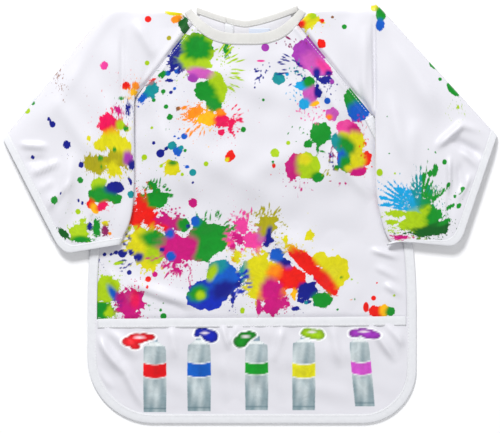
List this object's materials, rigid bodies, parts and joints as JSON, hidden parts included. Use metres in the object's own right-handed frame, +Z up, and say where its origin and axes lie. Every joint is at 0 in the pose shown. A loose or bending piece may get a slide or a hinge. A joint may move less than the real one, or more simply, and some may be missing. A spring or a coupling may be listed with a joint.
{
  "type": "art smock",
  "caption": "Child's long-sleeved art smock with a splatter print, bias-bound edges, a wide foot pocket and an overlapping hook-and-loop back, laid flat with its front up.",
  "frame": {"origin": "on the table, under the middle of the smock's outline as it lies flat on its back", "axes": "+Z up out of the printed front, +Y towards the neck, +X to the viewer's right as the front is seen"},
  "size_m": [0.5198, 0.4407, 0.0132],
  "materials": {
    "printed_cloth": "coated satin-weave polyester, white ground with a paint-splatter print",
    "bias_tape": "white folded bias tape, matt to satin, stitched along its inner edge",
    "neck_tape": "off-white doubled band, matt",
    "hook_and_loop": "white nylon hook and loop tape",
    "label_cloth": "pale blue-grey woven label, left blank"
  },
  "bodies": {
    "body": {"front_panel": "printed_cloth", "pocket_panel": "printed_cloth", "pocket_mouth_binding": "bias_tape", "side_and_hem_binding": "bias_tape", "neck_band": "neck_tape", "left_sleeve_head": "printed_cloth", "right_sleeve_head": "printed_cloth"},
    "left_arm": {"left_sleeve": "printed_cloth", "left_cuff_binding": "bias_tape"},
    "right_arm": {"right_sleeve": "printed_cloth", "right_cuff_binding": "bias_tape"},
    "left_back": {"left_back_flap": "printed_cloth", "left_flap_binding": "bias_tape", "left_back_neck_band": "neck_tape", "closure_loop_tape": "hook_and_loop"},
    "right_back": {"right_back_flap": "printed_cloth", "right_flap_binding": "bias_tape", "right_back_neck_band": "neck_tape", "closure_hook_tape": "hook_and_loop", "neck_label": "label_cloth"}
  },
  "joints": [
    {"name": "left_sleeve_fold", "type": "hinge", "parent": "body", "child": "left_arm", "pos_m": [-0.121, 0.09, 0.014], "axis": [0, 1, 0], "range_deg": [0, 180]},
    {"name": "right_sleeve_fold", "type": "hinge", "parent": "body", "child": "right_arm", "pos_m": [0.131, 0.09, 0.014], "axis": [0, -1, 0], "range_deg": [0, 160]},
    {"name": "left_back_opening", "type": "hinge", "parent": "body", "child": "left_back", "pos_m": [-0.094, 0.15569, -0.0003], "axis": [0.623, 0.7822, 0], "range_deg": [0, 150]},
    {"name": "right_back_opening", "type": "hinge", "parent": "body", "child": "right_back", "pos_m": [0.0888, 0.15144, -0.0003], "axis": [0.6371, -0.7708, 0], "range_deg": [0, 60]}
  ],
  "couplings": [
    {"joint": "right_back_opening", "follows": "left_back_opening", "ratio": 0.4}
  ]
}
